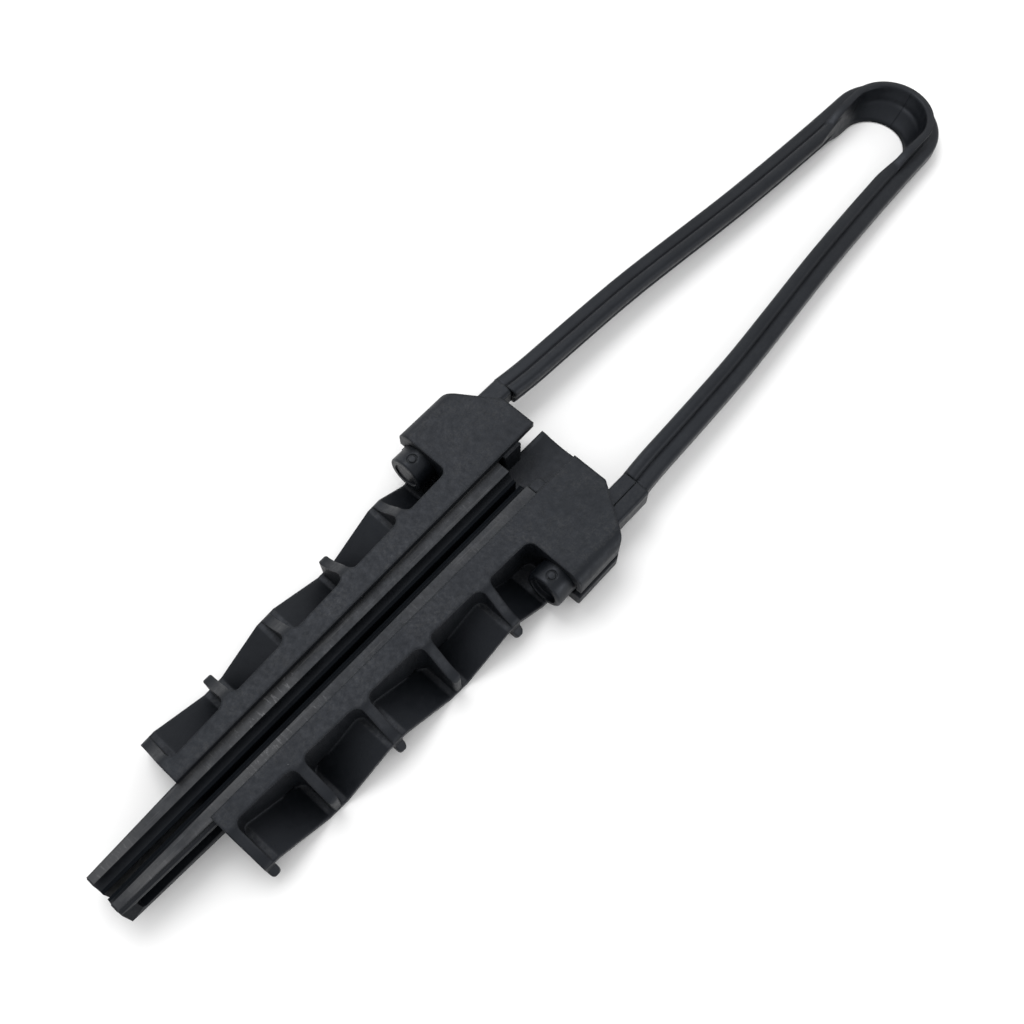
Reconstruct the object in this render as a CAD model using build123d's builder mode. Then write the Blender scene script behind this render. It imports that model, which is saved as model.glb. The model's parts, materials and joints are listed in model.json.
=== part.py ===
from build123d import *
import os
from math import cos, hypot, radians, sin, tan

# Anchor clamp for an aerial fibre cable: a ribbed wedge body, two wedges and a covered wire bail.
# It lies on its back with the cable slot up. X runs along the cable, from the span end to the
# crown of the bail, Y is to the left and Z up. The origin is under the middle of the clamp.

os.makedirs("parts", exist_ok=True)

# Lengths along the cable
wedge_overhang = 38.0        # wedge tips stand this far out of the span end of the body
body_length = 170.0          # span end of the body to the bail face of the ears
bail_reach = 232.0           # bail face of the ears to the crown of the bail

# Body heights
flange_top = 24.0            # top of the flanges above the surface the clamp lies on
lip_thickness = 3.0          # flange lips that reach over the wedges
channel_floor = 8.5          # top of the channel floor
channel_bottom = 5.2         # underside of the channel

# Body widths, as half widths from the centre plane
slot_half_span = 8.0         # slot between the lips at the span end
slot_half_bail = 9.7         # the same at the bail end
wing_half_span = 29.5        # outer ends of the ribs at the span end
wing_half_bail = 34.5        # the same beside the ears
wall_thickness = 5.2         # channel wall beside a wedge

# Wings: cross ribs and the folded web between them
rib_count = 5
last_rib_to_ear = 22.5       # from the middle of the last rib
rib_thickness = 3.6
rib_tip_height = 13.6        # top of a rib at its outer end
rib_foot = 2.2               # the high ribs stand out this far at their lower outer end
rib_foot_height = 1.8
rib_foot_bottom = 3.8        # underside of the high ribs
web_crest = 12.4             # top of the folded web at the odd ribs
web_trough = 2.2             # top of the folded web at the even ribs
web_thickness = 2.2
web_flat = 8.0               # level stretch of the web at each rib
web_ear_height = 5.0         # where the web runs into the ear
web_ear_run = 9.0            # level stretch there, below the end of the terminal
pocket_fillet = 3.0
rib_tip_fillet = 1.7

# Ears
ear_length = 34.6
ear_axis_y = 32.8            # axis of the bail terminal
ear_axis_drop = 10.5         # that axis below the top of the flanges
ear_outer = 43.0             # outer face of the ear, from the centre plane
ear_inner = 21.3             # inner face of the ear at the bail face
ear_depth = 21.0             # height of the ear
ear_top_fillet = 5.0
ear_bottom_fillet = 1.6
seat_from_face = 14.0        # seat of the terminal, back from the bail face
mouth_gap = 1.3              # room round a sleeve in the ear's mouth
ear_slot_top = 14.2          # side slot that the rope passes through
ear_slot_bottom = 9.4
ear_bevel_length = 13.2      # bevel of the outer bail corner
ear_bevel_start = 24.0       # half width where the bevel starts
ear_bevel_fillet = 5.0
ear_face_fillet = 1.6
tongue_length = 6.0          # floor plate stands this far past the bail face
tongue_half_width = 10.4
wall_end_from_face = 8.0     # channel walls stop this far before the bail face
wall_end_half_width = 8.5    # inner face of the walls past the wedges
trough_radius = 32.0         # hollow in the floor past the wedges
stop_length = 5.4            # block behind the right wedge
left_stop_gap = 2.5          # free space behind the left wedge

# Wedges
wedge_body_length = 151.0    # part of a wedge inside the body
wedge_tip_half = 7.6         # half width of the two wedges at their tips, at the cove's middle
wedge_taper = 2.1            # degrees
wedge_clearance = 0.25       # between a wedge and the channel
wedge_gap_half = 1.0         # half of the gap between the two wedges
cable_radius = 4.2           # cable groove along the wedge tops
top_inset = 0.5              # top edge of the cove, inside that half width
cove_radius = 1.2            # cove along the outer edge of the top
cove_drop = 2.6              # ledge under the cove, below the top
flank_lean = 1.1             # the outer face leans out by this much down to the bottom
guide_height = 7.0           # blind guide slot along the outer face
guide_drop = 0.7             # its upper side, below the ledge
guide_depth = 2.4
guide_inset = 5.2            # its closed ends, from the wedge's ends
guide_corner = 1.4
key_length = 10.0            # key on the channel wall that runs in the guide slot
key_from_span = 24.0
key_clearance = 0.35
wedge_travel = 15.0

# Bail
bail_tilt = 1.8              # degrees that the bail falls towards its crown
rope_radius = 1.75
rope_clearance = 0.1
crown_radius = 16.9          # rope centre line round the crown
crown_height = 12.4
crown_length = 26.0          # full-height stretch, back from the end of the crown
crown_ramp = 24.0            # length over which the cover grows to that height
rim_radius = 18.2            # outer edge of the crown's rim
rim_width = 2.8
rim_setback = 1.8            # apex of the rim, inside the end of the crown
saddle_radius = 12.9         # lower inner edge of the saddle
saddle_reach = 15.3          # apex of that edge, back from the end of the crown
saddle_middle_radius = 14.3
saddle_middle_reach = 8.9
saddle_middle_height = 5.0
cover_half_width = 5.4
cover_offset = 0.4           # the rope lies this far inside the middle of the cover
bead_width = 5.2             # rounded inner part of the cover
bead_top = 4.3               # heights above and below the rope centre line
shelf_top = 2.7
cover_bottom = 3.2
bead_groove = 0.3            # depth of the groove beside the bead, below the shelf
undercut = 1.1               # depth of the groove along the inner side of the bead
leg_start = 14.0             # first and last station of a leg, from the bail face and the crown's end
leg_end = 38.0
leg_half_widths = [29.0, 28.0, 26.7, 23.9, 21.0, 19.1, 17.7]   # rope line at even stations
cover_start_left = 7.5       # ends of the cover, from the bail face
cover_start_right = 9.9
sleeve_start = -9.0          # inner end of the sleeves, from the bail face
sleeve_width = 11.6
sleeve_height = 9.6
sleeve_length = 18.6
sleeve_split = 0.5
liner_width = 8.4
liner_height = 7.8
terminal_radius = 7.4
terminal_gap = 0.7           # play of the terminal in its bore
terminal_inset = 0.4         # terminal face to its seat
cap_length = 28.2
cap_mark_radius = 2.0
cap_mark_from_end = 4.0
ferrule_radius = 4.6
ferrule_length = 24.0
ferrule_clearance = 0.05
rope_in_ferrule = 18.0

# Places that follow from those sizes
overall_length = wedge_overhang + body_length + bail_reach
wedge_length = wedge_overhang + wedge_body_length
tip_x = -overall_length / 2
span_x = tip_x + wedge_overhang
face_x = span_x + body_length
crown_x = face_x + bail_reach
ear_x = face_x - ear_length
wall_end_x = face_x - wall_end_from_face
wedge_end_x = tip_x + wedge_length
rib_pitch = (ear_x - last_rib_to_ear - span_x - rib_thickness / 2) / (rib_count - 1)
stop_x = wedge_end_x + wedge_clearance
left_stop_x = stop_x + left_stop_gap
lip_bottom = flange_top - lip_thickness
wedge_top = lip_bottom - wedge_clearance
wedge_bottom = channel_floor + wedge_clearance
ledge_z = wedge_top - cove_drop
ledge_out = cove_radius - top_inset
guide_top = ledge_z - guide_drop
guide_bottom = guide_top - guide_height
ear_axis_z = flange_top - ear_axis_drop
ear_bottom = flange_top - ear_depth
taper = tan(radians(wedge_taper))


def wedge_half(x):
    """Half width of the pair of wedges at a station."""
    return wedge_tip_half + (x - tip_x) * taper


def channel_half(x):
    """Channel wall at the ledge of the wedges."""
    return wedge_half(x) + ledge_out + wedge_clearance


def channel_foot(x):
    """Channel wall at the floor."""
    return channel_half(x) + flank_lean


def wall_half(x):
    return wedge_half(x) + wedge_clearance + wall_thickness


def slot_half(x):
    return slot_half_span + (slot_half_bail - slot_half_span) * (x - span_x) / body_length


def wing_half(x):
    return wing_half_span + (wing_half_bail - wing_half_span) * (x - span_x) / (ear_x - span_x)


def strip(x0, x1, inner, outer, z0, z1):
    """Prism on the left side between two stations, its two sides following functions of x."""
    with BuildPart() as prism:
        with BuildSketch(Plane.XY.offset(z0)):
            with BuildLine():
                Polyline((x0, inner(x0)), (x1, inner(x1)), (x1, outer(x1)), (x0, outer(x0)), close=True)
            make_face()
        extrude(amount=z1 - z0)
    return prism.part


def block(x0, x1, y0, y1, z0, z1):
    """Box between its corners."""
    return Box(
        x1 - x0, y1 - y0, z1 - z0, align=(Align.MIN, Align.MIN, Align.MIN), mode=Mode.PRIVATE
    ).moved(Location((x0, y0, z0)))


rib_centres = [span_x + rib_thickness / 2 + index * rib_pitch for index in range(rib_count)]


def folded_web():
    """Web of the left wing seen from the side: high at the odd ribs, low at the even ones."""
    top = [(span_x, web_crest)]
    for index, centre in enumerate(rib_centres):
        height = web_crest if index % 2 == 0 else web_trough
        if index > 0:
            top.append((centre - web_flat / 2, height))
        if index < rib_count - 1:
            top.append((centre + web_flat / 2, height))
        else:
            top.append((centre + rib_thickness / 2, height))
    top.append((ear_x - web_ear_run, web_ear_height))
    top.append((ear_x + 1, web_ear_height))
    bottom = [(x, z - web_thickness) for x, z in reversed(top)]
    with BuildPart() as web:
        with BuildSketch(Plane.XZ):
            with BuildLine():
                Polyline(*top, *bottom, close=True)
            make_face()
        extrude(amount=-ear_outer)
        add(
            strip(span_x, ear_x + 1, lambda x: wall_half(x) - 1, wing_half, -1, flange_top),
            mode=Mode.INTERSECT,
        )
    return web.part


def rib(centre, bottom):
    """Cross rib of the left wing: its top sweeps down from the flange to the wing's edge."""
    wall = wall_half(centre)
    edge = wing_half(centre)
    start = wall + 0.6
    reach = edge - start
    toe = edge + (rib_foot if bottom > 0 else 0.2)
    half = rib_thickness / 2
    spread = half + pocket_fillet
    with BuildPart() as plate:
        with BuildSketch(Plane.YZ.offset(centre - spread)) as profile:
            with BuildLine():
                Polyline((start, flange_top), (wall - 1.5, flange_top), (wall - 1.5, bottom), (toe, bottom),
                         (toe, bottom + rib_foot_height), (edge, bottom + rib_foot_height + toe - edge),
                         (edge, rib_tip_height))
                Bezier(
                    (edge, rib_tip_height),
                    (edge - 0.45 * reach, rib_tip_height + 0.4),
                    (start + 0.3 * reach, flange_top),
                    (start, flange_top),
                )
            make_face()
            toes = profile.vertices().group_by(Axis.X)[-1]
            fillet(toes.sort_by(Axis.Y)[0], radius=1.4)
            top_corner = profile.vertices().sort_by_distance((edge, rib_tip_height))[0]
            fillet(top_corner, radius=2.2)
        extrude(amount=2 * spread)
        # plan of the rib: rounded pocket corners at the wall, rounded tip
        with BuildSketch(Plane.XY.offset(-1)) as plan:
            with BuildLine():
                Line((centre - spread, wall - 1.5), (centre - spread, wall))
                CenterArc((centre - spread, wall + pocket_fillet), pocket_fillet, -90, 90)
                Line((centre - half, wall + pocket_fillet), (centre - half, toe))
                Line((centre - half, toe), (centre + half, toe))
                Line((centre + half, toe), (centre + half, wall + pocket_fillet))
                CenterArc((centre + spread, wall + pocket_fillet), pocket_fillet, 180, 90)
                Line((centre + spread, wall), (centre + spread, wall - 1.5))
                Line((centre + spread, wall - 1.5), (centre - spread, wall - 1.5))
            make_face()
            fillet(plan.vertices().group_by(Axis.Y)[-1], radius=rib_tip_fillet)
        extrude(amount=flange_top + 2, mode=Mode.INTERSECT)
        if centre - spread < span_x:
            add(block(centre - spread - 1, span_x, 0, toe + 1, -1, flange_top + 1), mode=Mode.SUBTRACT)
    return plate.part


def ear():
    """Left ear: a rounded housing with the bore, mouth and side slot of the bail terminal."""
    inner_y = wall_half(ear_x) - 2
    with BuildPart() as housing:
        with BuildSketch(Plane.YZ.offset(ear_x)) as section:
            with Locations(((inner_y + ear_outer) / 2, flange_top - ear_depth / 2)):
                Rectangle(ear_outer - inner_y, ear_depth)
            outer = section.vertices().group_by(Axis.X)[-1].sort_by(Axis.Y)
            fillet(outer[0], radius=ear_bottom_fillet)
            fillet(section.vertices().group_by(Axis.X)[-1].sort_by(Axis.Y)[-1], radius=ear_top_fillet)
        extrude(amount=ear_length)
        # flat top that carries on over the channel wall
        add(strip(ear_x, face_x, slot_half, lambda x: ear_axis_y, lip_bottom, flange_top))
        # rounded corner of the last pocket
        wall = wall_half(ear_x)
        with BuildSketch(Plane.XY.offset(web_ear_height - 1)):
            with BuildLine():
                Line((ear_x + 1, wall - 1), (ear_x - pocket_fillet, wall - 1))
                Line((ear_x - pocket_fillet, wall - 1), (ear_x - pocket_fillet, wall - 0.05))
                CenterArc((ear_x - pocket_fillet, wall + pocket_fillet - 0.05), pocket_fillet, -90, 90)
                Line((ear_x, wall + pocket_fillet - 0.05), (ear_x, wall + pocket_fillet))
                Line((ear_x, wall + pocket_fillet), (ear_x + 1, wall + pocket_fillet))
                Line((ear_x + 1, wall + pocket_fillet), (ear_x + 1, wall - 1))
            make_face()
        extrude(amount=flange_top - web_ear_height + 1)
        # plan outline with the bevelled bail corner
        with BuildSketch(Plane.XY.offset(-1)):
            with BuildLine():
                FilletPolyline(
                    (ear_x - pocket_fillet - 1, 0),
                    (face_x, 0),
                    (face_x, ear_bevel_start),
                    (face_x - ear_bevel_length, ear_outer),
                    (face_x - ear_bevel_length - 8, ear_outer + 0.01),
                    (ear_x - pocket_fillet - 1, ear_outer + 0.02),
                    radius=(0, 0, ear_face_fillet, ear_bevel_fillet, 0, 0),
                    close=True,
                )
            make_face()
        extrude(amount=flange_top + 2, mode=Mode.INTERSECT)
        # bore for the terminal and mouth for the sleeve
        with BuildSketch(Plane.YZ.offset(ear_x - 1)):
            with Locations((ear_axis_y, ear_axis_z)):
                Circle(terminal_radius + terminal_gap)
        extrude(amount=ear_length + 1 - seat_from_face, mode=Mode.SUBTRACT)
        with BuildSketch(Plane.YZ.offset(face_x - seat_from_face - 1)):
            with Locations((bail_line_y(face_x - seat_from_face / 2), ear_axis_z - 0.4)):
                RectangleRounded(sleeve_width + 2 * mouth_gap, sleeve_height + 2 * mouth_gap, 1.5)
        extrude(amount=seat_from_face + 2, mode=Mode.SUBTRACT)
        add(
            block(ear_x - 1, face_x + 1, ear_axis_y, ear_outer + 1, ear_slot_bottom, ear_slot_top),
            mode=Mode.SUBTRACT,
        )
    return housing.part


# Bail centre line, in its own plane
bail_reference_x = ear_x + ear_length / 4
bail_plane = Plane(
    origin=(bail_reference_x, 0, ear_axis_z),
    x_dir=(cos(radians(bail_tilt)), 0, -sin(radians(bail_tilt))),
    z_dir=(sin(radians(bail_tilt)), 0, cos(radians(bail_tilt))),
)
bail_seat = face_x - seat_from_face - terminal_inset - bail_reference_x   # bail side of a terminal
bail_face = face_x - bail_reference_x
crown_end = (crown_x - bail_reference_x - shelf_top * sin(radians(bail_tilt))) / cos(radians(bail_tilt))
crown_bottom = (ear_axis_z - crown_end * sin(radians(bail_tilt))) / cos(radians(bail_tilt))
crown_corner = crown_end - cover_half_width - cover_offset
leg_first = bail_face + leg_start
leg_pitch = (crown_end - leg_end - leg_first) / (len(leg_half_widths) - 1)
leg = [
    (bail_seat - rope_in_ferrule, ear_axis_y),
    (bail_face - 10.0, ear_axis_y - 0.5),
    *[(leg_first + index * leg_pitch, y) for index, y in enumerate(leg_half_widths)],
    (crown_corner, crown_radius),
]


def leg_half(u):
    """Half width of the rope line at a distance along the bail."""
    for (u0, y0), (u1, y1) in zip(leg, leg[1:]):
        if u0 <= u <= u1:
            return y0 + (y1 - y0) * (u - u0) / (u1 - u0)
    return ear_axis_y


def bail_line_y(x):
    """The same at a station of the clamp, near the ears."""
    return leg_half(x - bail_reference_x)


def corner_radii(points):
    """Arc of each corner: as large as its two runs allow, and the crown's own radius there."""
    radii = []
    for before, here, after in zip(points, points[1:], points[2:]):
        a = Vector(here[0] - before[0], here[1] - before[1])
        b = Vector(after[0] - here[0], after[1] - here[1])
        turn = a.get_angle(b)
        if turn > 45:
            radii.append(crown_radius)
        else:
            radii.append(0.45 * min(a.length, b.length) / tan(radians(turn / 2)))
    return radii


def bail_sweep(profile):
    """Sweep a profile, drawn with x outwards and y up, round the whole bail."""
    route = leg + [(u, -y) for u, y in reversed(leg)]
    with BuildPart() as tube:
        with BuildLine(bail_plane) as path:
            FilletPolyline(*route, radius=corner_radii(route))
        start = path.line @ 0
        along = path.line % 0
        section_plane = Plane(origin=start, x_dir=along.cross(bail_plane.z_dir) * -1, z_dir=along)
        with BuildSketch(section_plane):
            add(profile)
        sweep()
    return tube.part


with BuildSketch() as rope_section:
    Circle(rope_radius)

with BuildSketch() as tunnel_section:
    Circle(rope_radius + rope_clearance)

cover_inner = -(cover_half_width - cover_offset)
cover_outer = cover_half_width + cover_offset
bead_edge = cover_inner + bead_width

with BuildSketch() as cover_section:
    with BuildLine():
        FilletPolyline(
            (cover_inner, 0.8),
            (cover_inner, bead_top),
            (bead_edge, bead_top),
            (bead_edge, shelf_top - bead_groove),
            (bead_edge + 0.9, shelf_top - bead_groove),
            (bead_edge + 0.9, shelf_top),
            (cover_outer, shelf_top),
            (cover_outer, -cover_bottom),
            (cover_inner + 0.5, -cover_bottom),
            (cover_inner + 0.5, -1.5),
            (cover_inner + undercut, -1.2),
            (cover_inner + undercut, 0.2),
            radius=(0, 2.2, 1.8, 0, 0, 0, 1.2, 1.5, 1.0, 0, 0, 0),
            close=True,
        )
    make_face()

crown_top = crown_height - crown_bottom
rim_centre = crown_end - rim_setback - rim_radius
crown_start = crown_end - crown_length - crown_ramp


def loop_plan(height, centre, radius, back, back_half):
    """Plan of a loop's end in the bail's plane: a half circle whose sides bend in to the legs."""
    with BuildSketch(bail_plane.offset(height)) as plan:
        with BuildLine():
            ThreePointArc((centre, -radius), (centre + radius, 0), (centre, radius))
            TangentArc((centre, radius), (back, back_half), tangent=(-1, 0))
            Line((back, back_half), (back, -back_half))
            TangentArc((centre, -radius), (back, -back_half), tangent=(-1, 0))
        make_face()
    return plan.sketch


rope_tunnel = bail_sweep(tunnel_section.sketch)


def leg_box(u0, u1, side, half, z0, z1):
    """Box across one leg of the bail, in the bail's own plane."""
    y0, y1 = (0, half) if side > 0 else (-half, 0)
    return bail_plane.location * block(u0, u1, y0, y1, z0, z1)


with BuildPart() as bail_rope:
    add(bail_sweep(rope_section.sketch))

saddle_plans = [
    (-crown_bottom - 0.5, saddle_reach, saddle_radius),
    (saddle_middle_height - crown_bottom, saddle_middle_reach, saddle_middle_radius),
    (crown_top + 0.5, rim_setback + rim_width, rim_radius - rim_width),
]
inner_edge = leg_half(crown_start) + cover_inner


def saddle_form(back, back_half, shrink):
    """Solid that fills the inside of the crown: narrow below, wide and set forward above."""
    with BuildPart() as form:
        loft(
            [
                loop_plan(height, crown_end - reach - radius, radius - shrink, back, back_half)
                for height, reach, radius in saddle_plans
            ]
        )
    return form.part


with BuildPart() as crown_block:
    add(loop_plan(-crown_bottom, rim_centre, rim_radius, crown_start, leg_half(crown_start) + bead_edge - 0.1))
    extrude(amount=crown_height)
    # it grows out of the two legs
    with BuildSketch(Plane(origin=bail_plane.origin, x_dir=bail_plane.x_dir, z_dir=(0, -1, 0))):
        foot = (crown_end - crown_length, -crown_bottom - 0.1)
        rim = (crown_end - crown_length, crown_top + 0.1)
        with BuildLine():
            Bezier(
                (crown_start, -cover_bottom + 0.6), (crown_start + 0.5 * crown_ramp, -cover_bottom + 0.6),
                (foot[0] - 0.5 * crown_ramp, foot[1]), foot,
            )
            Polyline(foot, (crown_end + 5, foot[1]), (crown_end + 5, rim[1]), rim)
            Bezier(
                rim, (rim[0] - 0.5 * crown_ramp, rim[1]),
                (crown_start + 0.5 * crown_ramp, shelf_top - 0.6), (crown_start, shelf_top - 0.6),
            )
            Line((crown_start, shelf_top - 0.6), (crown_start, -cover_bottom + 0.6))
        make_face()
    extrude(amount=2 * rim_radius, both=True, mode=Mode.INTERSECT)
    add(saddle_form(crown_start - 1, inner_edge + undercut + 0.2, 0.3), mode=Mode.SUBTRACT)

with BuildPart() as bail_cover:
    add(bail_sweep(cover_section.sketch))
    add(crown_block.part)
    add(saddle_form(crown_start, inner_edge - 0.3, 0), mode=Mode.SUBTRACT)
    for side, start in ((1, cover_start_left), (-1, cover_start_right)):
        add(
            leg_box(-ear_length, bail_face + start, side, 2 * ear_axis_y, -ear_depth, ear_depth),
            mode=Mode.SUBTRACT,
        )
    add(rope_tunnel, mode=Mode.SUBTRACT)

sleeve_middle = sleeve_start + sleeve_length / 2
sleeve_y = bail_line_y(face_x + sleeve_middle)
with BuildPart() as sleeve_right:
    with BuildSketch(Plane(bail_plane.location * Location((bail_face + sleeve_start, -sleeve_y, 0), (0, 90, 0)))):
        RectangleRounded(sleeve_height, sleeve_width, 1.2)
    extrude(amount=sleeve_length)
    chamfer(faces().sort_by(Axis.X)[-1].edges(), length=0.5)
    for side in (1, -1):
        z0, z1 = (sleeve_height / 2 - 0.6, 20) if side > 0 else (-20, -sleeve_height / 2 + 0.6)
        add(
            bail_plane.location * block(
                bail_face + sleeve_start - 1, bail_face + sleeve_start + sleeve_length + 1,
                -sleeve_y - sleeve_split / 2, -sleeve_y + sleeve_split / 2, z0, z1,
            ),
            mode=Mode.SUBTRACT,
        )
    add(rope_tunnel, mode=Mode.SUBTRACT)

liner_length = cover_start_left - sleeve_start - 0.1
liner_y = bail_line_y(face_x + sleeve_start + liner_length / 2)
with BuildPart() as liner_left:
    with BuildSketch(Plane(bail_plane.location * Location((bail_face + sleeve_start, liner_y, 0), (0, 90, 0)))):
        RectangleRounded(liner_height, liner_width, 1.6)
    extrude(amount=liner_length)
    for z in (1.2, -1.8):
        add(
            bail_plane.location * block(
                bail_face + sleeve_start - 1, bail_face + cover_start_left + 1,
                liner_y + liner_width / 2 - 0.5, liner_y + liner_width, z, z + 0.6,
            ),
            mode=Mode.SUBTRACT,
        )
    add(rope_tunnel, mode=Mode.SUBTRACT)


def ferrule(side):
    """Steel ferrule pressed on one end of the rope."""
    with BuildPart() as tube:
        with BuildSketch(Plane(bail_plane.location * Location((bail_seat, side * ear_axis_y, 0), (0, -90, 0)))):
            Circle(ferrule_radius)
        extrude(amount=ferrule_length)
        chamfer(tube.edges().filter_by(GeomType.CIRCLE), length=0.4)
        add(rope_tunnel, mode=Mode.SUBTRACT)
    return tube.part


def terminal_cap(side):
    """Moulded cap round a ferrule: closed end outside the ear, open towards the bail."""
    with BuildPart() as cap:
        with BuildSketch(Plane(bail_plane.location * Location((bail_seat, side * ear_axis_y, 0), (0, -90, 0)))):
            Circle(terminal_radius)
        extrude(amount=cap_length)
        fillet(cap.edges().filter_by(GeomType.CIRCLE).sort_by(Axis.X)[0], radius=0.8)
        with BuildSketch(Plane(bail_plane.location * Location((bail_seat + 1, side * ear_axis_y, 0), (0, -90, 0)))):
            Circle(ferrule_radius + ferrule_clearance)
        extrude(amount=ferrule_length + 1 + ferrule_clearance, mode=Mode.SUBTRACT)
        mark_u = bail_seat - cap_length + cap_mark_from_end
        with BuildSketch(bail_plane * Plane((mark_u, side * ear_axis_y, terminal_radius - 0.6))):
            Circle(cap_mark_radius)
            Circle(cap_mark_radius - 0.6, mode=Mode.SUBTRACT)
        extrude(amount=2, mode=Mode.SUBTRACT)
    return cap.part


def capped_end(side, radius, depth):
    """Terminal cap with a round recess in its closed end."""
    end_u = bail_seat - cap_length
    with BuildPart() as cap:
        add(terminal_cap(side))
        with BuildSketch(Plane(bail_plane.location * Location((end_u - 1, side * ear_axis_y, 0), (0, 90, 0)))):
            Circle(radius)
        extrude(amount=1 + depth, mode=Mode.SUBTRACT)
    return cap.part


with BuildPart() as terminal_cap_left:
    add(capped_end(1, terminal_radius - 2.4, 0.5))

with BuildPart() as terminal_cap_right:
    add(capped_end(-1, terminal_radius - 2.0, 2.0))

with BuildPart() as ferrule_left:
    add(ferrule(1))

with BuildPart() as ferrule_right:
    add(ferrule(-1))


# Plane across the left wedge's outer face, with the face's line at its origin
along_wedge = (cos(radians(wedge_taper)), sin(radians(wedge_taper)), 0)
out_of_wedge = (-sin(radians(wedge_taper)), cos(radians(wedge_taper)), 0)
taper_plane = Plane(origin=(tip_x, wedge_tip_half, 0), x_dir=out_of_wedge, z_dir=along_wedge)


def wedge():
    """Left wedge: dovetailed outer face on the channel wall, half a cable groove along its top."""
    inside = -2 * wedge_half(wedge_end_x)
    with BuildPart() as solid:
        # cove along the top edge, outer face leaning out below it
        with BuildSketch(taper_plane.offset(-wedge_overhang)):
            with BuildLine():
                Polyline(
                    (-top_inset, ledge_z + cove_radius), (-top_inset, wedge_top), (inside, wedge_top),
                    (inside, wedge_bottom), (ledge_out + flank_lean, wedge_bottom), (ledge_out, ledge_z),
                )
                CenterArc((ledge_out, ledge_z + cove_radius), cove_radius, 180, 90)
            make_face()
        extrude(amount=wedge_length + 2 * wedge_overhang)
        add(
            block(tip_x, wedge_end_x, wedge_gap_half, ear_outer, 0, flange_top),
            mode=Mode.INTERSECT,
        )
        # blind guide slot
        slot_middle = (wedge_length / 2, (guide_top + guide_bottom) / 2)
        slot_plane = Plane(origin=(tip_x, wedge_tip_half, 0), x_dir=along_wedge, z_dir=out_of_wedge)
        with BuildSketch(slot_plane.offset(ledge_out - guide_depth)):
            with Locations((slot_middle[0], -slot_middle[1])):
                RectangleRounded(wedge_length - 2 * guide_inset, guide_height, guide_corner)
        extrude(amount=2 * guide_depth + flank_lean, mode=Mode.SUBTRACT)
        # cable groove
        with BuildSketch(Plane.YZ.offset(tip_x - 1)):
            with Locations((0, wedge_top)):
                Circle(cable_radius)
        extrude(amount=wedge_length + 2, mode=Mode.SUBTRACT)
    return solid.part


def wedge_room():
    """Left half of the channel that the wedge lies in, its wall parallel to the wedge."""
    inside = -2 * wedge_half(wedge_end_x)
    side = ledge_out + wedge_clearance
    with BuildPart() as room:
        with BuildSketch(taper_plane):
            with BuildLine():
                Polyline(
                    (inside, channel_floor), (side + flank_lean, channel_floor), (side, ledge_z),
                    (side, lip_bottom), (inside, lip_bottom), close=True,
                )
            make_face()
        extrude(amount=wedge_length + 2 * wedge_overhang)
        add(block(span_x - 1, left_stop_x, -1, ear_outer, 0, flange_top), mode=Mode.INTERSECT)
    return room.part


with BuildPart() as wedge_left:
    add(wedge())
    tip_edges = wedge_left.faces().sort_by(Axis.X)[0].edges().filter_by(Axis.Y)
    fillet(tip_edges.sort_by(Axis.Z)[-1], radius=0.8)

with BuildPart() as wedge_right:
    add(mirror(wedge_left.part, about=Plane.XZ, mode=Mode.PRIVATE))


def half_body():
    """Left half of the body, without the stops of the wedges."""
    with BuildPart() as half:
        add(strip(span_x, wall_end_x, lambda x: 0, wall_half, channel_bottom, flange_top))
        add(block(wall_end_x - 1, face_x + tongue_length, 0, tongue_half_width, channel_bottom, channel_floor))
        add(folded_web())
        for index, centre in enumerate(rib_centres):
            add(rib(centre, rib_foot_bottom if index % 2 == 0 else 0))
        add(ear())
        # room for the wedge, up to its stop
        add(wedge_room(), mode=Mode.SUBTRACT)
        # passage for the cable past the wedges, with a hollow floor
        add(
            block(left_stop_x - 1, face_x + tongue_length + 1, 0, wall_end_half_width, channel_floor, lip_bottom),
            mode=Mode.SUBTRACT,
        )
        with BuildSketch(Plane.YZ.offset(left_stop_x)):
            with Locations((0, channel_floor + trough_radius - 1.2)):
                Circle(trough_radius)
            with Locations((0, channel_floor - 3)):
                Rectangle(2 * wall_end_half_width, 8, mode=Mode.INTERSECT)
        extrude(amount=face_x + tongue_length + 1 - left_stop_x, mode=Mode.SUBTRACT)
        # slot between the lips
        add(
            strip(span_x - 1, face_x + 1, lambda x: 0, slot_half, lip_bottom - 0.01, flange_top + 1),
            mode=Mode.SUBTRACT,
        )
        # the walls end before the bail face, only the top plate carries on
        add(
            block(wall_end_x, face_x + 1, tongue_half_width, ear_inner, -1, lip_bottom),
            mode=Mode.SUBTRACT,
        )
        # key in the guide slot of the wedge
        add(
            strip(span_x + key_from_span, span_x + key_from_span + key_length,
                  lambda x: wedge_half(x) + ledge_out - guide_depth + key_clearance,
                  lambda x: channel_foot(x) + 0.5, guide_bottom + key_clearance, guide_top - key_clearance)
        )
    return half.part


left_half = half_body()

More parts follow.
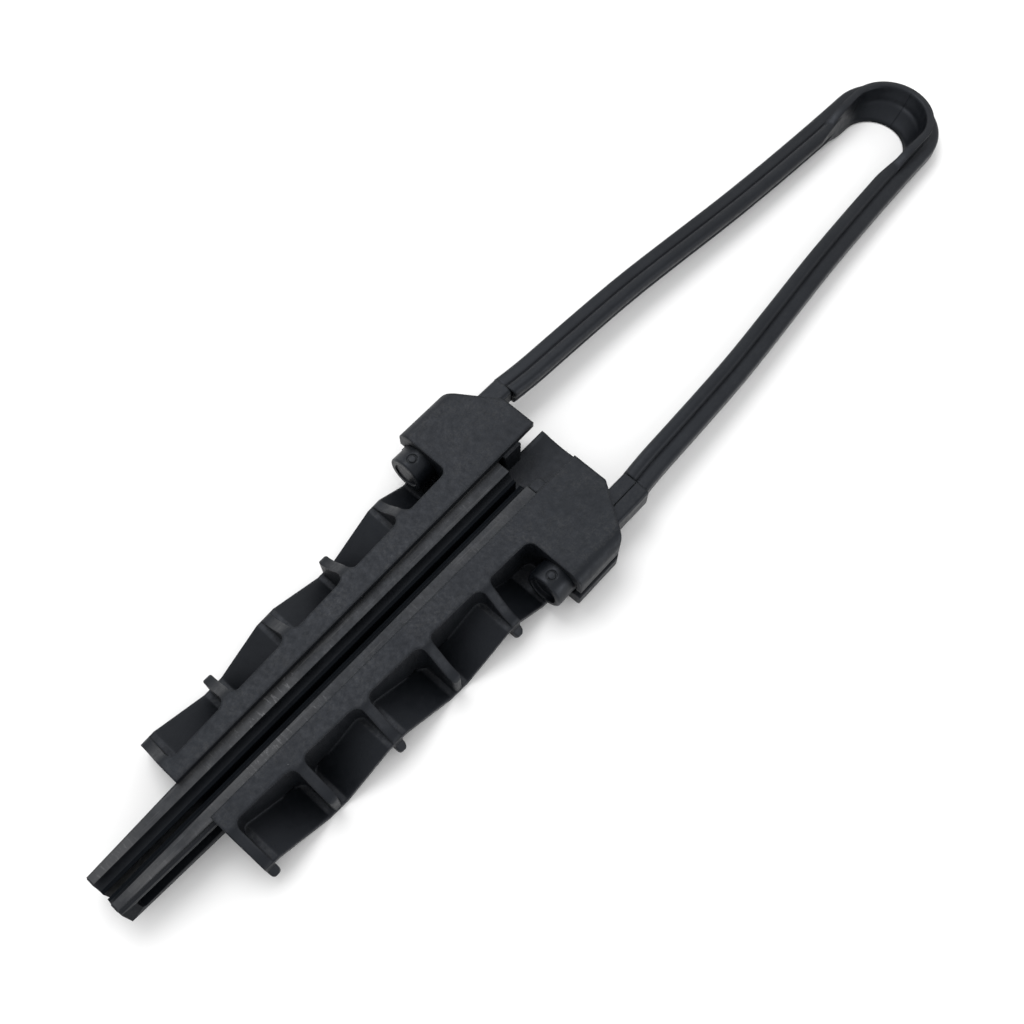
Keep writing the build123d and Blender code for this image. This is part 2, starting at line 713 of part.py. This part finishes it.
with BuildPart() as clamp_body:
    add(left_half)
    add(mirror(left_half, about=Plane.XZ, mode=Mode.PRIVATE))
    # stop behind the right wedge
    with BuildSketch(Plane.XY.offset(channel_floor - 0.5)):
        with BuildLine():
            FilletPolyline(
                (stop_x, -channel_foot(stop_x) - 0.5),
                (stop_x, -cable_radius - 0.2),
                (stop_x + stop_length, -cable_radius - 0.2),
                (stop_x + stop_length, -channel_foot(stop_x) - 0.5),
                radius=(0, 0.8, 1.8, 0),
                close=True,
            )
        make_face()
    extrude(amount=wedge_top - channel_floor + 0.5)
    with BuildSketch(Plane.XY.offset(channel_floor - 0.5)):
        with BuildLine():
            Polyline(
                (stop_x, -channel_foot(stop_x) - 0.5),
                (stop_x, -wall_end_half_width),
                (left_stop_x + 0.5, -wall_end_half_width),
                (left_stop_x + 0.5, -channel_foot(stop_x) - 0.5),
                close=True,
            )
        make_face()
    extrude(amount=lip_bottom - channel_floor + 1)

pieces = {
    "clamp_body": clamp_body,
    "wedge_left": wedge_left,
    "wedge_right": wedge_right,
    "bail_rope": bail_rope,
    "bail_cover": bail_cover,
    "sleeve_right": sleeve_right,
    "liner_left": liner_left,
    "terminal_cap_left": terminal_cap_left,
    "terminal_cap_right": terminal_cap_right,
    "ferrule_left": ferrule_left,
    "ferrule_right": ferrule_right,
}
for name, piece in pieces.items():
    piece.part.label = name
    export_step(piece.part, "parts/" + name + ".step")
    print(name, len(piece.part.solids()), round(piece.part.volume, 1))
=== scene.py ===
import json
import math

import bpy
from mathutils import Matrix, Vector

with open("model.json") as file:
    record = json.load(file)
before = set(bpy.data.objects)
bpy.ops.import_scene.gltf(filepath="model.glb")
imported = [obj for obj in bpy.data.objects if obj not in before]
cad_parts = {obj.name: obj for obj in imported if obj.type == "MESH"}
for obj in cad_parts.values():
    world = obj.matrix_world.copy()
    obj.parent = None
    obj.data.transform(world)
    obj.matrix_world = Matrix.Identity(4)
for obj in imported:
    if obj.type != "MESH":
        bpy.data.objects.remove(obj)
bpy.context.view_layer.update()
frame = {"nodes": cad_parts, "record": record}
nodes = frame["nodes"]

# Cable groove of the wedges, from the mount that holds the cable, in metres
cable_seat = next(mount for mount in frame["record"]["mounts"] if mount["name"] == "cable_seat")
cable_radius = cable_seat["dims"]["r_mm"] / 1000
cable_height = cable_seat["pos_m"][2]

# Recesses of the wedges that get painted shade: a darker, duller plastic
groove_depth = 0.0036        # the groove gets painted shade from this far below the middle of the cable
groove_margin = 0.0001
gap_half = 0.0012            # half of the gap between the wedges, and a little more
slot_bottom = 0.0103
slot_top = 0.0175
slot_inner = 0.005
slot_outer_at_end = 0.0072   # outer limit of the slot's faces at the bail end of the wedges
wedge_end_x = -0.009
wedge_taper = 0.0348         # the limit moves out by this share of the distance from that end

# Wear on the tops of the wedges, as places along x
rubbed_most_x = -0.160       # rubbed most up to here, towards the tips
rubbed_least_x = -0.060
nicked_x = -0.137            # middle of the nicked stretch

# Parting line of the bail cover
seam_start_x = 0.190
seam_fade = 0.002
seam_half_width = 0.00010
seam_edge = 0.00024

floor_half = 4.0

DUSTY = (0.027, 0.027, 0.026, 1)
RUBBED = (0.050, 0.050, 0.050, 1)
NICKED = (0.18, 0.18, 0.185, 1)
STROKED = (0.070, 0.070, 0.070, 1)
SPECKLED = (0.25, 0.25, 0.26, 1)
# Bluish tint of the plastics' reflections: a painted reflection colour standing in for bluish light
BLUISH_LIGHT_GLOSS_TINT = (0.84, 0.89, 1.0, 1)


def new_material(name):
    """A new material with its tree and its shader."""
    material = bpy.data.materials.new(name)
    material.use_nodes = True
    tree = material.node_tree
    return material, tree, tree.nodes["Principled BSDF"]


def object_coordinates(tree):
    """Coordinates that stay on a piece when it moves."""
    return tree.nodes.new("ShaderNodeTexCoord").outputs["Object"]


def component(tree, vector, axis):
    """One component of a vector."""
    split = tree.nodes.new("ShaderNodeSeparateXYZ")
    tree.links.new(vector, split.inputs["Vector"])
    return split.outputs[axis]


def noise(tree, where, scale, detail, roughness, stretch=(1, 1, 1)):
    """Noise on stretched coordinates."""
    mapping = tree.nodes.new("ShaderNodeMapping")
    mapping.inputs["Scale"].default_value = stretch
    tree.links.new(where, mapping.inputs["Vector"])
    texture = tree.nodes.new("ShaderNodeTexNoise")
    texture.inputs["Scale"].default_value = scale
    texture.inputs["Detail"].default_value = detail
    texture.inputs["Roughness"].default_value = roughness
    tree.links.new(mapping.outputs["Vector"], texture.inputs["Vector"])
    return texture.outputs["Fac"]


def ramp(tree, factor, low, high):
    """Colour that runs between two stops, each a (position, colour)."""
    node = tree.nodes.new("ShaderNodeValToRGB")
    for element, stop in zip(node.color_ramp.elements, (low, high)):
        element.position, element.color = stop
    tree.links.new(factor, node.inputs["Fac"])
    return node.outputs["Color"]


def math_node(tree, operation, *values, clamp=False):
    """Math node on sockets or numbers."""
    node = tree.nodes.new("ShaderNodeMath")
    node.operation = operation
    node.use_clamp = clamp
    for socket, value in zip(node.inputs, values):
        if isinstance(value, (int, float)):
            socket.default_value = value
        else:
            tree.links.new(value, socket)
    return node.outputs["Value"]


def product(tree, first, *others):
    """Product of sockets or numbers, in their order."""
    for other in others:
        first = math_node(tree, "MULTIPLY", first, other)
    return first


def map_range(tree, value, low, high, to_low=0.0, to_high=1.0):
    """Value between low and high, carried over to another range."""
    node = tree.nodes.new("ShaderNodeMapRange")
    limits = {"From Min": low, "From Max": high, "To Min": to_low, "To Max": to_high}
    for socket, limit in limits.items():
        node.inputs[socket].default_value = limit
    tree.links.new(value, node.inputs["Value"])
    return node.outputs["Result"]


def mix_colour(tree, factor, under, over):
    """Mix of two colours, each a socket or four numbers; the factor is a socket."""
    node = tree.nodes.new("ShaderNodeMix")
    node.data_type = "RGBA"
    tree.links.new(factor, node.inputs[0])
    for socket, colour in ((node.inputs[6], under), (node.inputs[7], over)):
        if isinstance(colour, tuple):
            socket.default_value = colour
        else:
            tree.links.new(colour, socket)
    return node.outputs[2]


def lay_over(tree, under, over, *shares):
    """Colour laid over another by the product of its shares, held between 0 and 1."""
    amount = product(tree, *shares[:-1])
    amount = math_node(tree, "MULTIPLY", amount, shares[-1], clamp=True)
    return mix_colour(tree, amount, under, over)


def soft_normal(tree, radius):
    """Normal that rounds off the sharp edges by a small radius."""
    bevel = tree.nodes.new("ShaderNodeBevel")
    bevel.samples = 6
    bevel.inputs["Radius"].default_value = radius
    return bevel.outputs["Normal"]


def flat_normal(tree):
    """Normal of the surface as it is."""
    return tree.nodes.new("ShaderNodeNewGeometry").outputs["Normal"]


def bump(tree, shader, heights, normal=None):
    """Chain of bumps over a normal: (height socket, strength, distance in metres)."""
    for height, strength, distance in heights:
        node = tree.nodes.new("ShaderNodeBump")
        node.inputs["Strength"].default_value = strength
        node.inputs["Distance"].default_value = distance
        tree.links.new(height, node.inputs["Height"])
        if normal is not None:
            tree.links.new(normal, node.inputs["Normal"])
        normal = node.outputs["Normal"]
    tree.links.new(normal, shader.inputs["Normal"])


def facing_up(tree):
    """1 on faces that look up, 0 on the others."""
    return map_range(tree, component(tree, flat_normal(tree), "Z"), 0.93, 0.99)


def worn_and_highlit_edges(tree):
    """1 along sharp edges, 0 on flat faces: where pale wear and a painted highlight go."""
    dot = tree.nodes.new("ShaderNodeVectorMath")
    dot.operation = "DOT_PRODUCT"
    tree.links.new(soft_normal(tree, 0.0005), dot.inputs[0])
    tree.links.new(flat_normal(tree), dot.inputs[1])
    return map_range(tree, math_node(tree, "SUBTRACT", 1.0, dot.outputs["Value"]), 0.02, 0.25)


def crown_seam(tree, where):
    """1 on the parting line across the middle of the crown."""
    off = math_node(tree, "ABSOLUTE", component(tree, where, "Y"))
    line = map_range(tree, off, seam_half_width, seam_edge, 1.0, 0.0)
    crown = map_range(tree, component(tree, where, "X"), seam_start_x, seam_start_x + seam_fade)
    return product(tree, line, crown)


def scuffed(tree, where, up, colour, scuffs):
    """Rubbed tops with nicks across the cable and long strokes along it."""
    along = component(tree, where, "X")
    ticks = map_range(tree, noise(tree, where, 1000, 3, 0.7, stretch=(1, 0.30, 0.30)), 0.56, 0.72)
    strokes = map_range(tree, noise(tree, where, 900, 3, 0.7, stretch=(0.04, 1, 1)), 0.55, 0.72)
    patches = map_range(tree, noise(tree, where, 70, 3, 0.6, stretch=(0.5, 1, 1)), 0.42, 0.62)
    handled = map_range(tree, along, rubbed_most_x, rubbed_least_x, 1.15, 0.72)
    from_nicks = math_node(tree, "ABSOLUTE", math_node(tree, "ADD", along, -nicked_x))
    nicked = map_range(tree, from_nicks, 0.010, 0.045, 0.9, 0.25)
    rubbed = math_node(tree, "MULTIPLY_ADD", patches, 0.6, 0.25)
    colour = lay_over(tree, colour, RUBBED, up, rubbed, handled, scuffs)
    colour = lay_over(tree, colour, NICKED, up, ticks, patches, nicked)
    return lay_over(tree, colour, STROKED, up, strokes, 0.5)


def moulded_plastic(name, dark, light, roughness, grain, mottle, edge_wear_and_highlight, specks=0.0, scuffs=0.0,
                    soft=0.0007, gloss=0.262, seam=False):
    """Moulded black plastic: cloudy tone, spark grain, dusty tops, pale edges that are partly wear and
    partly a painted highlight, specks and scuffs.
    """
    material, tree, shader = new_material(name)
    where = object_coordinates(tree)
    cloud = noise(tree, where, 45, 5, 0.6)
    fine = noise(tree, where, 1500, 3, 0.7)
    blotch = noise(tree, where, 420, 4, 0.65)
    up = facing_up(tree)
    base = ramp(tree, cloud, (0.32, (*dark, 1)), (0.68, (*light, 1)))
    colour = mix_colour(tree, map_range(tree, fine, 0.35, 0.75, 0.0, 0.5), base, (*light, 1))

    dust = map_range(tree, noise(tree, where, 850, 5, 0.8), 0.44, 0.64)
    drifts = map_range(tree, noise(tree, where, 90, 3, 0.6), 0.35, 0.65, 0.2, 1.9)
    colour = lay_over(tree, colour, DUSTY, up, dust, drifts, mottle)

    # Pale edges: partly wear, partly a painted highlight along the sharp edges
    pale_wear_and_highlight = (*(value * 3.0 + 0.03 for value in light), 1)
    colour = lay_over(tree, colour, pale_wear_and_highlight, worn_and_highlit_edges(tree), noise(tree, where, 260, 3, 0.7), edge_wear_and_highlight)
    if scuffs:
        colour = scuffed(tree, where, up, colour, scuffs)
    if specks:
        dots = map_range(tree, noise(tree, where, 520, 1, 0.4), 0.83, 0.86)
        colour = lay_over(tree, colour, SPECKLED, dots, specks)
    tree.links.new(colour, shader.inputs["Base Color"])

    sheen = map_range(tree, blotch, 0.3, 0.7, roughness - 0.08, roughness + 0.10)
    tree.links.new(sheen, shader.inputs["Roughness"])
    shader.inputs["Specular IOR Level"].default_value = gloss
    shader.inputs["Specular Tint"].default_value = BLUISH_LIGHT_GLOSS_TINT
    reliefs = [(fine, grain, 0.00006), (blotch, 0.18, 0.0002), (cloud, 0.12, 0.0004)]
    if seam:
        reliefs.append((math_node(tree, "SUBTRACT", 1.0, crown_seam(tree, where)), 0.6, 0.0003))
    bump(tree, shader, reliefs, soft_normal(tree, soft))
    return material


def steel(tree, shader, pattern, low, high, roughness, strength, depth):
    """Bare steel whose tone and relief follow one pattern."""
    tree.links.new(ramp(tree, pattern, low, high), shader.inputs["Base Color"])
    shader.inputs["Metallic"].default_value = 1.0
    shader.inputs["Roughness"].default_value = roughness
    bump(tree, shader, [(pattern, strength, depth)])


def wire_steel():
    """Bright wire with bands along it."""
    material, tree, shader = new_material("rope_steel")
    wave = tree.nodes.new("ShaderNodeTexWave")
    wave.inputs["Scale"].default_value = 180
    wave.inputs["Distortion"].default_value = 1.0
    tree.links.new(object_coordinates(tree), wave.inputs["Vector"])
    low, high = (0.0, (0.25, 0.25, 0.26, 1)), (1.0, (0.62, 0.62, 0.63, 1))
    steel(tree, shader, wave.outputs["Fac"], low, high, roughness=0.35, strength=0.6, depth=0.0003)
    return material


def pressed_steel():
    """Pressed steel with fine turning marks."""
    material, tree, shader = new_material("ferrule_steel")
    marks = noise(tree, object_coordinates(tree), 900, 3, 0.6, stretch=(1, 0.05, 0.05))
    low, high = (0.3, (0.42, 0.42, 0.43, 1)), (0.7, (0.60, 0.60, 0.61, 1))
    steel(tree, shader, marks, low, high, roughness=0.38, strength=0.3, depth=0.0001)
    return material


body_plastic = moulded_plastic(
    "body_plastic",
    dark=(0.0012, 0.0018, 0.0027),
    light=(0.0040, 0.0050, 0.0066),
    roughness=0.50,
    grain=0.55,
    mottle=0.34,
    edge_wear_and_highlight=0.5,
    specks=0.5,
    soft=0.0013,
    gloss=0.268,
)
wedge_plastic = moulded_plastic(
    "wedge_plastic",
    dark=(0.0014, 0.0019, 0.0027),
    light=(0.0050, 0.0060, 0.0074),
    roughness=0.50,
    grain=0.6,
    mottle=0.4,
    edge_wear_and_highlight=0.5,
    scuffs=0.8,
    soft=0.0004,
)
# Painted shade: darker, less glossy plastic for the deep groove, the gap and the side slot of the wedges
shade_painted_recess_plastic = moulded_plastic(
    "shade_painted_recess_plastic",
    dark=(0.0006, 0.0012, 0.0022),
    light=(0.0018, 0.0030, 0.0046),
    roughness=0.62,
    grain=0.8,
    mottle=0.1,
    edge_wear_and_highlight=0.2,
    soft=0.0004,
    gloss=0.09,
)
cover_plastic = moulded_plastic(
    "cover_plastic",
    dark=(0.0014, 0.0019, 0.0028),
    light=(0.0045, 0.0055, 0.0071),
    roughness=0.40,
    grain=0.15,
    mottle=0.1,
    edge_wear_and_highlight=0.0,
    soft=0.002,
    gloss=0.28,
    seam=True,
)
cap_plastic = moulded_plastic(
    "cap_plastic",
    dark=(0.0014, 0.0020, 0.0030),
    light=(0.0048, 0.0060, 0.0078),
    roughness=0.42,
    grain=0.25,
    mottle=0.3,
    edge_wear_and_highlight=0.4,
)
rope_steel = wire_steel()
ferrule_steel = pressed_steel()

finishes = {
    "clamp_body": body_plastic,
    "wedge_left": wedge_plastic,
    "wedge_right": wedge_plastic,
    "bail_cover": cover_plastic,
    "bail_rope": rope_steel,
    "sleeve_right": cap_plastic,
    "liner_left": cap_plastic,
    "terminal_cap_left": cap_plastic,
    "terminal_cap_right": cap_plastic,
    "ferrule_left": ferrule_steel,
    "ferrule_right": ferrule_steel,
}
for name, material in finishes.items():
    node = nodes[name]
    node.data.materials.clear()
    node.data.materials.append(material)


def in_recess(face):
    """True in the bottom of the cable groove, the gap and the side slot of a wedge."""
    x, y, z = face.center
    y = abs(y)
    on_groove = math.hypot(y, z - cable_height) < cable_radius + groove_margin
    slot_outer = slot_outer_at_end + wedge_taper * (wedge_end_x - x)
    in_slot = slot_bottom < z < slot_top and slot_inner < y < slot_outer
    deep_groove = on_groove and z < cable_height - groove_depth
    return deep_groove or y < gap_half or (in_slot and abs(face.normal.x) < 0.5)


# The recesses of the wedges get painted shade, a darker and duller plastic, where their tops are rubbed
for name in ("wedge_left", "wedge_right"):
    mesh = nodes[name].data
    mesh.materials.append(shade_painted_recess_plastic)
    for face in mesh.polygons:
        if in_recess(face):
            face.material_index = 1


# Floor
corners = [(-floor_half, -floor_half, 0), (floor_half, -floor_half, 0),
           (floor_half, floor_half, 0), (-floor_half, floor_half, 0)]
mesh = bpy.data.meshes.new("floor")
mesh.from_pydata(corners, [], [(0, 1, 2, 3)])
floor = bpy.data.objects.new("floor", mesh)
bpy.context.scene.collection.objects.link(floor)
paper, tree, shader = new_material("paper")
shader.inputs["Base Color"].default_value = (0.92, 0.92, 0.92, 1)
shader.inputs["Roughness"].default_value = 0.9
shader.inputs["Specular IOR Level"].default_value = 0.1
mesh.materials.append(paper)


def area_light(name, place, target, size, power):
    """Round light that faces a target."""
    data = bpy.data.lights.new(name, "AREA")
    data.shape = "DISK"
    data.size = size
    data.energy = power
    light = bpy.data.objects.new(name, data)
    bpy.context.scene.collection.objects.link(light)
    turn = (Vector(target) - Vector(place)).to_track_quat("-Z", "Y").to_matrix().to_4x4()
    light.matrix_world = Matrix.Translation(place) @ turn
    return light


# White surroundings, one broad soft light high over the left side, and a low card on each side that only
# the gloss of the plastic picks up
world = bpy.data.worlds.new("studio")
world.use_nodes = True
background = world.node_tree.nodes["Background"]
background.inputs["Color"].default_value = (0.95, 0.95, 0.95, 1)
background.inputs["Strength"].default_value = 1.05
bpy.context.scene.world = world
bpy.context.scene.view_settings.view_transform = "Standard"
area_light("key", place=(0.15, 0.65, 1.55), target=(0, 0, 0), size=0.9, power=11)
for side, place, power in (("left", (0.35, 1.25, 0.35), 1.1), ("right", (0.35, -1.25, 0.30), 3.8)):
    card = area_light("card_" + side, place, target=(0, 0, 0.01), size=0.6, power=power)
    card.visible_diffuse = False
    card.visible_camera = False

# Camera at the photograph's place and angle: the directions of its right side, its down side and its view
right = (0.6702545, -0.7421313, 0.0002327)
down = (-0.6772939, -0.6118249, -0.4085868)
forward = (0.3033674, 0.2736996, -0.9127194)
camera_place = (-0.169014, -0.121713, 0.403206)
camera_data = bpy.data.cameras.new("camera")
camera_data.sensor_width = 36.0
camera_data.sensor_fit = "HORIZONTAL"
camera_data.lens = 42.535
camera_data.clip_start = 0.01
camera = bpy.data.objects.new("camera", camera_data)
bpy.context.scene.collection.objects.link(camera)
turn = Matrix((right, -Vector(down), -Vector(forward))).transposed().to_4x4()
camera.matrix_world = Matrix.Translation(camera_place) @ turn
bpy.context.scene.camera = camera
